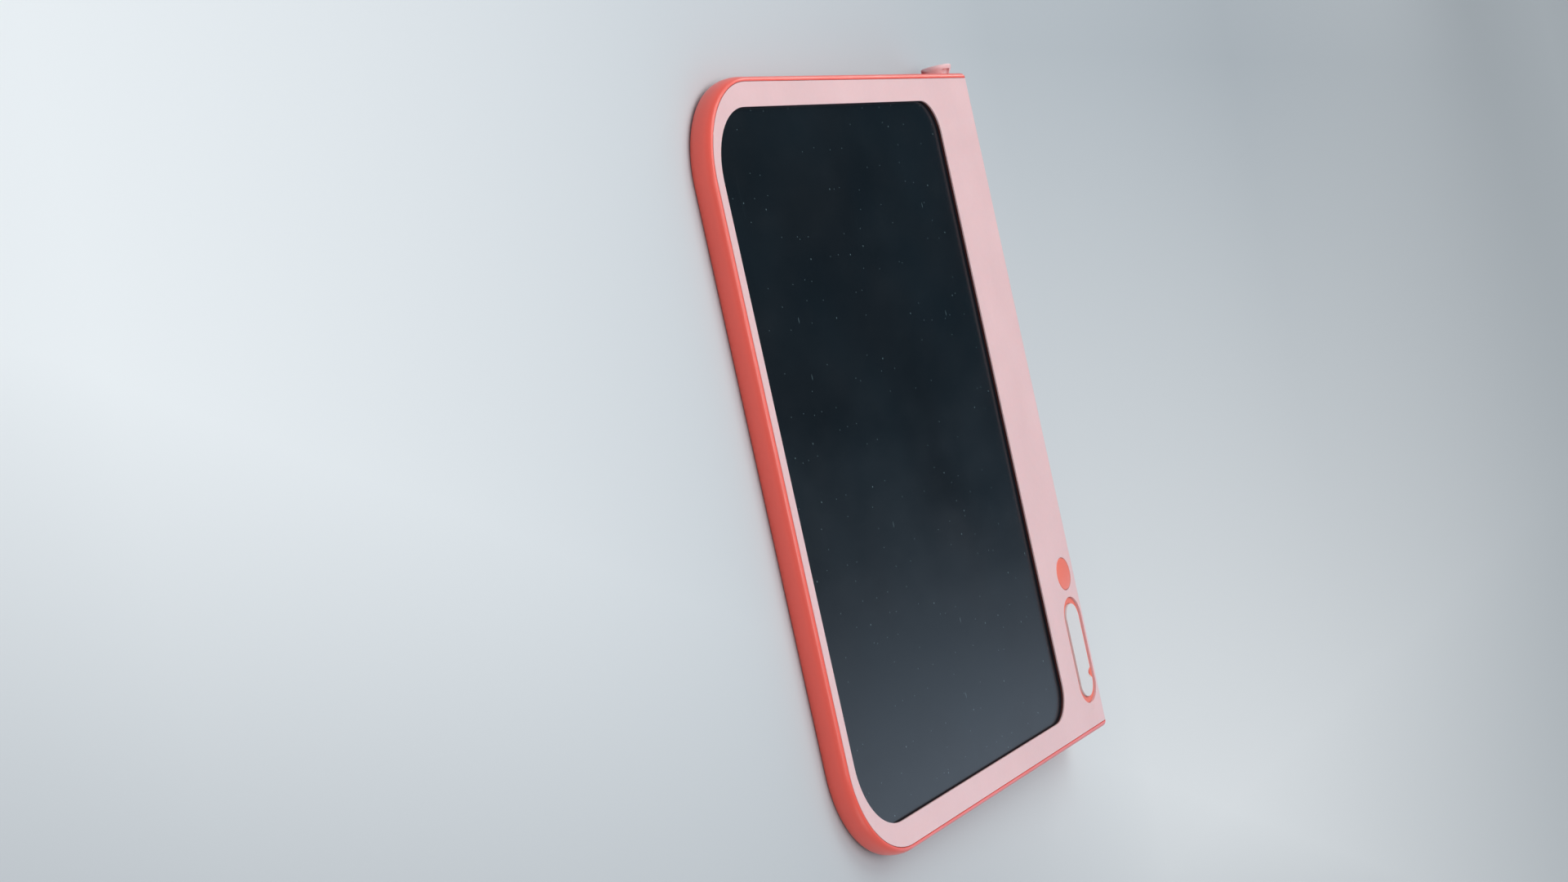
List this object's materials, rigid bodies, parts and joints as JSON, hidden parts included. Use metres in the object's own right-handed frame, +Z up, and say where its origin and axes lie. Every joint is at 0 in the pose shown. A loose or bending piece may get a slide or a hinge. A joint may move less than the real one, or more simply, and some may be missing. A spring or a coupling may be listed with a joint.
{
  "type": "drawing tablet",
  "caption": "Child's LCD drawing tablet: rounded slab with a soft bumper and a fat spine that stores the stylus, coin-cell tray, lock slider and erase button.",
  "frame": {"origin": "on the surface the tablet lies on, under the middle of its bounding box", "axes": "+X along the spine from the stylus end to the lock end, +Y from the hand edge towards the spine, +Z up; the slab is tipped 2.9 degrees about X because it rests on its spine and its hand edge"},
  "size_m": [0.2744, 0.223, 0.0198],
  "materials": {
    "pink_shell": "satin",
    "pink_gloss": "gloss",
    "coral_rubber": "satin",
    "coral_plastic": "satin",
    "screen": "gloss",
    "white_plastic": "satin",
    "black_plastic": "matt",
    "black_foam": "matt",
    "board_green": "satin",
    "cable_amber": "satin",
    "steel": "satin"
  },
  "bodies": {
    "tablet": {"back_panel": "pink_gloss", "back_shell": "pink_gloss", "board_screw_1": "steel", "board_screw_2": "steel", "bumper": "coral_rubber", "case_screw_1": "steel", "case_screw_2": "steel", "case_screw_3": "steel", "case_screw_4": "steel", "circuit_board": "board_green", "contact_minus": "steel", "contact_plus": "steel", "display_cable": "cable_amber", "driver_chip": "black_plastic", "erase_switch_body": "black_plastic", "front_shell": "pink_shell", "lock_switch_body": "steel", "name_plate_tray": "coral_plastic", "screen_backer": "white_plastic", "screen_gasket": "black_foam", "screen_panel": "screen", "stylus_sleeve": "white_plastic"},
    "erase_button": {"erase_button": "coral_plastic"},
    "erase_plunger": {"erase_switch_plunger": "coral_plastic"},
    "name_plate": {"name_plate": "white_plastic"},
    "lock_slider": {"lock_slider": "pink_shell", "lock_switch_lever": "black_plastic"},
    "battery_tray": {"battery_tray": "pink_shell", "coin_cell": "steel"},
    "tray_latch": {"tray_latch": "pink_shell"},
    "stylus": {"stylus_head": "pink_shell", "stylus_barrel": "pink_shell", "stylus_tip": "black_plastic"}
  },
  "joints": [
    {"name": "erase_press", "type": "slide", "parent": "tablet", "child": "erase_button", "axis": [0, 0.0512, -0.9987], "range_m": [0, 0.0005], "stiffness_N_per_m": 600, "springref_m": -0.0008},
    {"name": "plunger_press", "type": "slide", "parent": "tablet", "child": "erase_plunger", "axis": [0, 0.0512, -0.9987], "range_m": [0, 0.00025]},
    {"name": "name_plate_lift", "type": "slide", "parent": "tablet", "child": "name_plate", "axis": [0, -0.0512, 0.9987], "range_m": [0, 0.008]},
    {"name": "lock_slide", "type": "slide", "parent": "tablet", "child": "lock_slider", "axis": [-1, 0, 0], "range_m": [0, 0.0033]},
    {"name": "battery_pull", "type": "slide", "parent": "tablet", "child": "battery_tray", "axis": [0, 0.9987, 0.0512], "range_m": [0, 0.024]},
    {"name": "latch_squeeze", "type": "slide", "parent": "battery_tray", "child": "tray_latch", "axis": [-1, 0, 0], "range_m": [0, 0.0008], "stiffness_N_per_m": 400, "springref_m": -0.0005},
    {"name": "stylus_pull", "type": "slide", "parent": "tablet", "child": "stylus", "axis": [-1, 0, 0], "range_m": [0, 0.12]}
  ],
  "couplings": [
    {"joint": "plunger_press", "follows": "erase_press", "ratio": 0.5}
  ]
}
